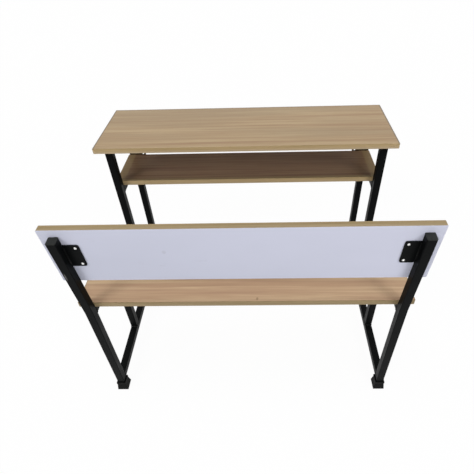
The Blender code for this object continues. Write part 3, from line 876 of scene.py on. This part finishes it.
def farthest(node, direction):
    """The vertex of a CAD node that lies farthest along a direction."""
    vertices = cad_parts[node].data.vertices
    return max(vertices, key=lambda vertex: vertex.co.dot(direction)).co.copy()


def dress_screws():
    """Detailed screws in place of the CAD ones, each on the line of the one it replaces."""
    meshes = {}
    for number, name in enumerate(sorted(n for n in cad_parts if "_screw_" in n)):
        way = INTO_THE_BACKREST if "backrest" in name else UPWARDS
        top = farthest(name, -way)
        length = (farthest(name, way) - top).dot(way)
        key = round(length, LENGTH_DECIMALS)
        if key not in meshes:
            meshes[key] = screw_mesh("screw_" + str(len(meshes) + 1), length)
        made = bpy.data.objects.new(name.replace("_screw", "_detailed_screw"), meshes[key])
        bpy.context.scene.collection.objects.link(made)
        upright = (-way).to_track_quat("Z", "Y").to_matrix()
        turned = upright @ Matrix.Rotation(number * SCREW_TURN, 3, "Z")
        made.matrix_world = Matrix.Translation(top) @ turned.to_4x4()
        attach(made, "root")
        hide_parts(name)


# Camera, light and floor

def place_camera():
    """The camera at the photograph's place and angle."""
    forward = Vector((sin(CAMERA_YAW) * cos(CAMERA_PITCH), cos(CAMERA_YAW) * cos(CAMERA_PITCH),
                      sin(CAMERA_PITCH)))
    level = Vector((cos(CAMERA_YAW), -sin(CAMERA_YAW), 0))
    upright = level.cross(forward)
    right = level * cos(CAMERA_ROLL) + upright * sin(CAMERA_ROLL)
    up = upright * cos(CAMERA_ROLL) - level * sin(CAMERA_ROLL)
    data = bpy.data.cameras.new("photo_camera")
    data.sensor_width = SENSOR
    data.lens = FOCAL_PIXELS / PICTURE_PIXELS * SENSOR
    data.shift_x = (PICTURE_PIXELS / 2 - CENTRE_PIXEL_X) / PICTURE_PIXELS
    data.shift_y = (CENTRE_PIXEL_Y - PICTURE_PIXELS / 2) / PICTURE_PIXELS
    camera = bpy.data.objects.new("photo_camera", data)
    bpy.context.scene.collection.objects.link(camera)
    camera.matrix_world = Matrix((
        (right.x, up.x, -forward.x, CAMERA_PLACE.x),
        (right.y, up.y, -forward.y, CAMERA_PLACE.y),
        (right.z, up.z, -forward.z, CAMERA_PLACE.z),
        (0, 0, 0, 1)))
    bpy.context.scene.camera = camera


def soft_lamp(name, azimuth, elevation, width, strength):
    """Wide, even light from one direction, as from a large softbox far away."""
    round_desk, height = radians(azimuth), radians(elevation)
    comes_from = Vector((sin(round_desk) * cos(height), -cos(round_desk) * cos(height), sin(height)))
    data = bpy.data.lights.new(name, "SUN")
    data.angle = radians(width)
    data.energy = strength
    lamp = bpy.data.objects.new(name, data)
    bpy.context.scene.collection.objects.link(lamp)
    lamp.location = comes_from
    lamp.rotation_mode = "QUATERNION"
    lamp.rotation_quaternion = comes_from.to_track_quat("Z", "Y")


def seen_directly(tree):
    """1 for rays from the camera, gloss and glass, 0 for the light that falls on things."""
    path = add_node(tree, "ShaderNodeLightPath").outputs
    shiny = calculate(tree, "MAXIMUM", path["Is Glossy Ray"], path["Is Transmission Ray"])
    return calculate(tree, "MAXIMUM", path["Is Camera Ray"], shiny)


def set_world():
    """White where it is seen, and a faint even light on the object."""
    world = bpy.data.worlds.new("studio")
    bpy.context.scene.world = world
    world.use_nodes = True
    tree = world.node_tree
    background = tree.nodes["Background"]
    background.inputs["Color"].default_value = WHITE_LIGHT
    strength = calculate(tree, "MULTIPLY", seen_directly(tree), 1 - WORLD_STRENGTH)
    tree.links.new(calculate(tree, "ADD", strength, WORLD_STRENGTH), background.inputs["Strength"])


def lay_floor():
    """A pale floor that is seen nearly white and keeps a faint shadow."""
    bm = bmesh.new()
    bmesh.ops.create_grid(bm, x_segments=1, y_segments=1, size=FLOOR_SIZE / 2)
    mesh = bpy.data.meshes.new("floor")
    bm.to_mesh(mesh)
    bm.free()
    floor = bpy.data.objects.new("floor", mesh)
    bpy.context.scene.collection.objects.link(floor)
    material, tree, shader = new_material("pale_floor")
    seen = seen_directly(tree)
    colour = blend(tree, seen, FLOOR_COLOUR, FLOOR_SEEN_COLOUR)
    tree.links.new(colour, shader.inputs["Base Color"])
    shader.inputs["Roughness"].default_value = FLOOR_ROUGHNESS
    shader.inputs["Specular IOR Level"].default_value = 0.0
    white = add_node(tree, "ShaderNodeEmission", {}, {"Color": WHITE_LIGHT, "Strength": 1.0})
    mix = add_node(tree, "ShaderNodeMixShader", {}, {
        0: calculate(tree, "MULTIPLY", seen, FLOOR_WHITE_SHARE),
        1: shader.outputs["BSDF"], 2: white.outputs["Emission"]})
    tree.links.new(mix.outputs["Shader"], tree.nodes["Material Output"].inputs["Surface"])
    mesh.materials.append(material)


dress_boards()
dress_rest()
dress_screws()
for side, sign in (("left", -1), ("right", 1)):
    side_welds(side, sign)
group = smoothing_group()
for name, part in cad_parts.items():
    if "_screw_" not in name:
        smooth_node(part, group)

place_camera()
set_world()
for lamp in LAMPS:
    soft_lamp(*lamp)
lay_floor()
bpy.context.scene.view_settings.view_transform = "Standard"
